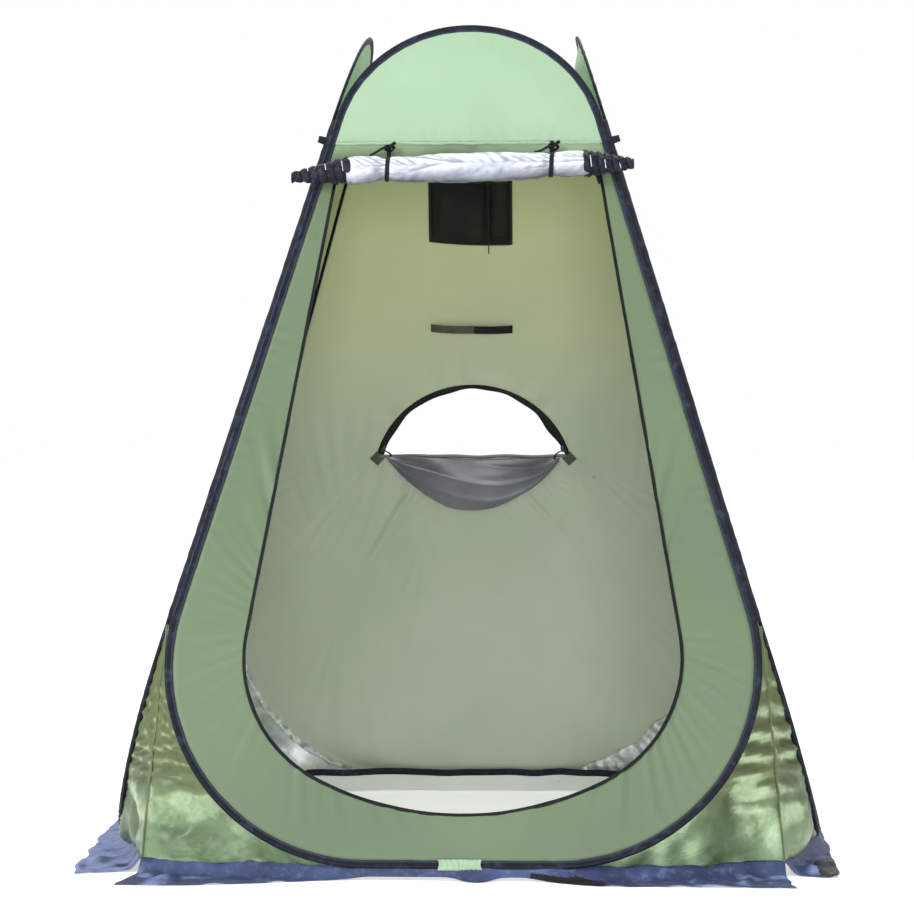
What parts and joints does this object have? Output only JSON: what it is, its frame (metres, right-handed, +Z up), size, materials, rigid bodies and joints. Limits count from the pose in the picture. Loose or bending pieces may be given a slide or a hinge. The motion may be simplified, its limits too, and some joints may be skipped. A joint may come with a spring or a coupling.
{
  "type": "pop-up privacy tent",
  "caption": "Pop-up privacy tent for a camp toilet or changing room: sprung hoop panels, rolled-up door, see-through window, net pocket and ground skirt.",
  "frame": {"origin": "on the ground, at the middle of the base", "axes": "+Z up; the door faces -Y; +X is to the right of someone looking at the door"},
  "size_m": [1.76, 1.83, 1.9011],
  "materials": {
    "spring_wire": "satin",
    "ferrule": "satin",
    "binding_tape": "satin",
    "panel_cloth": "satin",
    "top_cloth": "satin",
    "gusset_cloth": "satin",
    "skirt_cloth": "matte",
    "silver_cloth": "satin",
    "edge_tape": "matte",
    "webbing": "matte",
    "zip_tape": "matte",
    "zip_slider": "satin",
    "strap_olive": "matte",
    "pocket_net": "matte"
  },
  "bodies": {
    "back": {"back_binding": "binding_tape", "back_ferrule": "ferrule", "back_gusset_left": "gusset_cloth", "back_gusset_right": "gusset_cloth", "back_hem": "binding_tape", "back_panel": "panel_cloth", "back_roof_gore": "top_cloth", "back_skirt": "skirt_cloth", "back_top_panel": "top_cloth", "back_wire": "spring_wire", "pocket_binding": "edge_tape", "pocket_mesh": "pocket_net", "towel_strap_left": "strap_olive", "towel_strap_right": "webbing", "window_patch_left": "strap_olive", "window_patch_right": "strap_olive", "window_zip": "zip_tape"},
    "left": {"left_binding": "binding_tape", "left_ferrule": "ferrule", "left_gusset_left": "gusset_cloth", "left_gusset_right": "gusset_cloth", "left_panel": "panel_cloth", "left_roof_gore": "top_cloth", "left_skirt": "skirt_cloth", "left_top_panel": "top_cloth", "left_wire": "spring_wire", "hoop_tab_left": "webbing"},
    "right": {"right_binding": "binding_tape", "right_ferrule": "ferrule", "right_gusset_left": "gusset_cloth", "right_gusset_right": "gusset_cloth", "right_panel": "panel_cloth", "right_roof_gore": "top_cloth", "right_skirt": "skirt_cloth", "right_top_panel": "top_cloth", "right_wire": "spring_wire", "hoop_tab_right": "webbing"},
    "front": {"front_binding": "binding_tape", "front_ferrule": "ferrule", "front_gusset_left": "gusset_cloth", "front_gusset_right": "gusset_cloth", "front_hoop_patch": "top_cloth", "front_panel": "panel_cloth", "front_roof_gore": "top_cloth", "front_skirt": "skirt_cloth", "front_top_panel": "top_cloth", "front_wire": "spring_wire", "door_roll": "silver_cloth", "door_tie_left": "webbing", "door_tie_right": "webbing", "door_zip": "zip_tape", "roll_end_left": "edge_tape", "roll_end_right": "edge_tape"},
    "window_flap": {"window_flap": "silver_cloth"},
    "window_slider_left": {"window_slider_left": "zip_slider"},
    "window_slider_right": {"window_slider_right": "zip_slider"},
    "door_slider_left": {"door_slider_left": "zip_slider"},
    "door_slider_right": {"door_slider_right": "zip_slider"}
  },
  "joints": [
    {"name": "left_fold", "type": "hinge", "parent": "back", "child": "left", "pos_m": [-0.8003, 0.8003, 0.025], "axis": [-0.2751, 0.2751, -0.9212], "range_deg": [0, 75], "stiffness_Nm_per_rad": 12, "springref_deg": -34.38, "deforming": ["back_gusset_left", "back_gusset_right", "back_roof_gore", "left_gusset_left", "left_gusset_right", "left_roof_gore"]},
    {"name": "right_fold", "type": "hinge", "parent": "back", "child": "right", "pos_m": [0.8003, 0.8003, 0.025], "axis": [0.2751, 0.2751, -0.9212], "range_deg": [0, 76.2], "deforming": ["right_gusset_left", "right_gusset_right", "right_roof_gore"]},
    {"name": "front_fold", "type": "hinge", "parent": "left", "child": "front", "pos_m": [-0.8003, -0.8003, 0.025], "axis": [0.2751, 0.2751, 0.9212], "range_deg": [0, 76.2], "deforming": ["front_gusset_left", "front_gusset_right", "front_roof_gore"]},
    {"name": "window_cover", "type": "hinge", "parent": "back", "child": "window_flap", "pos_m": [-0.022, 0.53202, 0.89006], "axis": [-1, 0, 0], "range_deg": [0, 160]},
    {"name": "window_zip_left", "type": "hinge", "parent": "back", "child": "window_slider_left", "pos_m": [-0.022, 0.56539, 0.82725], "axis": [0, 0.9582, 0.2862], "range_deg": [0, 60]},
    {"name": "window_zip_right", "type": "hinge", "parent": "back", "child": "window_slider_right", "pos_m": [-0.022, 0.56539, 0.82725], "axis": [0, -0.9582, -0.2862], "range_deg": [0, 60]},
    {"name": "door_zip_left", "type": "slide", "parent": "front", "child": "door_slider_left", "axis": [-0.1599, -0.2825, -0.9458], "range_m": [0, 1.06]},
    {"name": "door_zip_right", "type": "slide", "parent": "front", "child": "door_slider_right", "axis": [0.1599, -0.2825, -0.9458], "range_m": [0, 1.06]}
  ],
  "couplings": [
    {"joint": "right_fold", "follows": "left_fold", "ratio": 1.01},
    {"joint": "front_fold", "follows": "left_fold", "ratio": 1.01}
  ]
}
